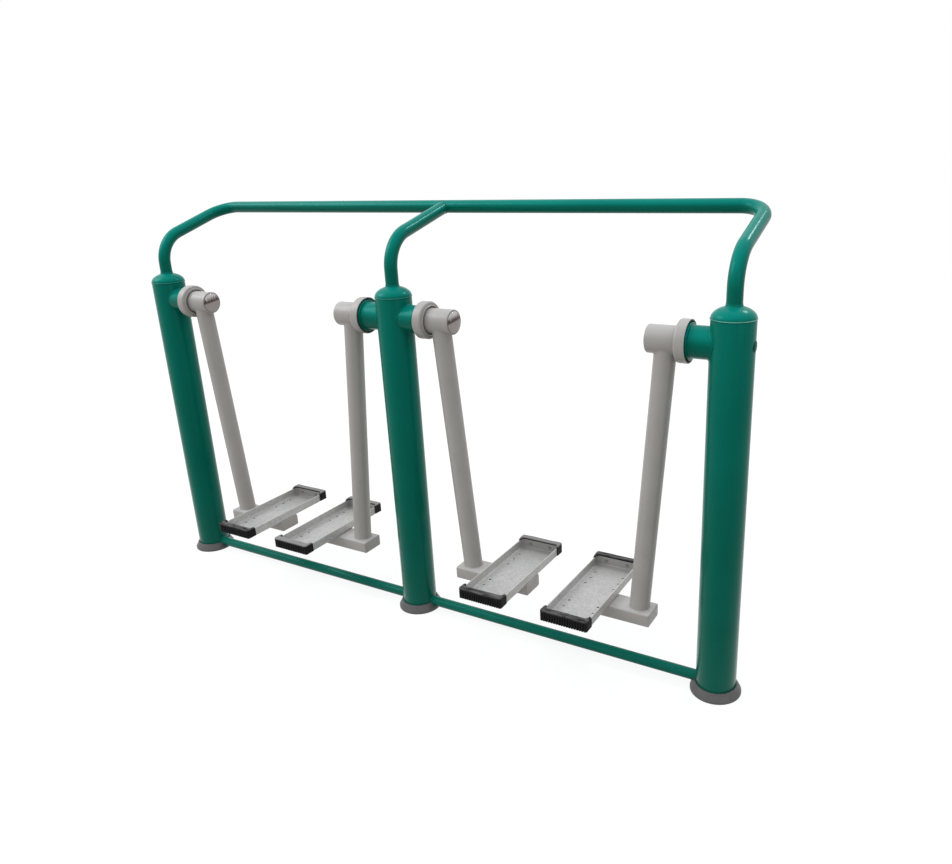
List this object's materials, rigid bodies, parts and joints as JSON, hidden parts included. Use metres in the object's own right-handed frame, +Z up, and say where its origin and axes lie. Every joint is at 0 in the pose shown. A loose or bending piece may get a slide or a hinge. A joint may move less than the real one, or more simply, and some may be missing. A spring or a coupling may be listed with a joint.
{
  "type": "outdoor air walker",
  "caption": "Outdoor air walker: round posts in a row carry a bent handrail, and free-swinging legs with foot trays hang from bearings below it.",
  "frame": {"origin": "on the ground, at the centre of the middle post's foot", "axes": "+X runs along the row of posts, +Y points to the handrail's grip, the way the user faces, and +Z is up"},
  "size_m": [2.266, 0.5266, 1.3531],
  "materials": {
    "green_paint": "glossy powder coat",
    "grey_paint": "satin powder coat",
    "foot_paint": "satin paint",
    "zinc_sheet": "galvanised, dull",
    "polished_cap": "polished",
    "steel": "turned",
    "rubber": "matt, ribbed"
  },
  "bodies": {
    "frame": {"post_left": "green_paint", "post_middle": "green_paint", "post_right": "green_paint", "post_cap_left": "green_paint", "post_cap_middle": "green_paint", "post_cap_right": "green_paint", "foot_left": "foot_paint", "foot_middle": "foot_paint", "foot_right": "foot_paint", "handrail": "green_paint", "handrail_strut": "green_paint", "low_rail_left": "green_paint", "low_rail_right": "green_paint", "stub_1": "green_paint", "stub_2": "green_paint", "stub_3": "green_paint", "stub_4": "green_paint", "middle_axle": "steel", "end_axles": "steel", "axle_nuts": "steel"},
    "walker_1": {"collar_1": "grey_paint", "hub_1": "grey_paint", "bearings_1": "steel", "hub_cap_1": "polished_cap", "leg_1": "grey_paint", "arm_1": "grey_paint", "tray_1": "zinc_sheet", "near_cap_1": "rubber", "far_cap_1": "rubber", "cap_screws_1": "steel"},
    "walker_2": {"collar_2": "grey_paint", "hub_2": "grey_paint", "bearings_2": "steel", "hub_cap_2": "polished_cap", "leg_2": "grey_paint", "arm_2": "grey_paint", "tray_2": "zinc_sheet", "near_cap_2": "rubber", "far_cap_2": "rubber", "cap_screws_2": "steel"},
    "walker_3": {"collar_3": "grey_paint", "hub_3": "grey_paint", "bearings_3": "steel", "hub_cap_3": "polished_cap", "leg_3": "grey_paint", "arm_3": "grey_paint", "tray_3": "zinc_sheet", "near_cap_3": "rubber", "far_cap_3": "rubber", "cap_screws_3": "steel"},
    "walker_4": {"collar_4": "grey_paint", "hub_4": "grey_paint", "bearings_4": "steel", "hub_cap_4": "polished_cap", "leg_4": "grey_paint", "arm_4": "grey_paint", "tray_4": "zinc_sheet", "near_cap_4": "rubber", "far_cap_4": "rubber", "cap_screws_4": "steel"}
  },
  "joints": [
    {"name": "swing_1", "type": "hinge", "parent": "frame", "child": "walker_1", "pos_m": [-0.888, 0, 1.02], "axis": [1, 0, 0], "range_deg": [-60, 60]},
    {"name": "swing_2", "type": "hinge", "parent": "frame", "child": "walker_2", "pos_m": [-0.172, 0, 1.02], "axis": [1, 0, 0], "range_deg": [-60, 60]},
    {"name": "swing_3", "type": "hinge", "parent": "frame", "child": "walker_3", "pos_m": [0.172, 0, 1.02], "axis": [1, 0, 0], "range_deg": [-60, 60]},
    {"name": "swing_4", "type": "hinge", "parent": "frame", "child": "walker_4", "pos_m": [0.888, 0, 1.02], "axis": [1, 0, 0], "range_deg": [-60, 60]}
  ]
}
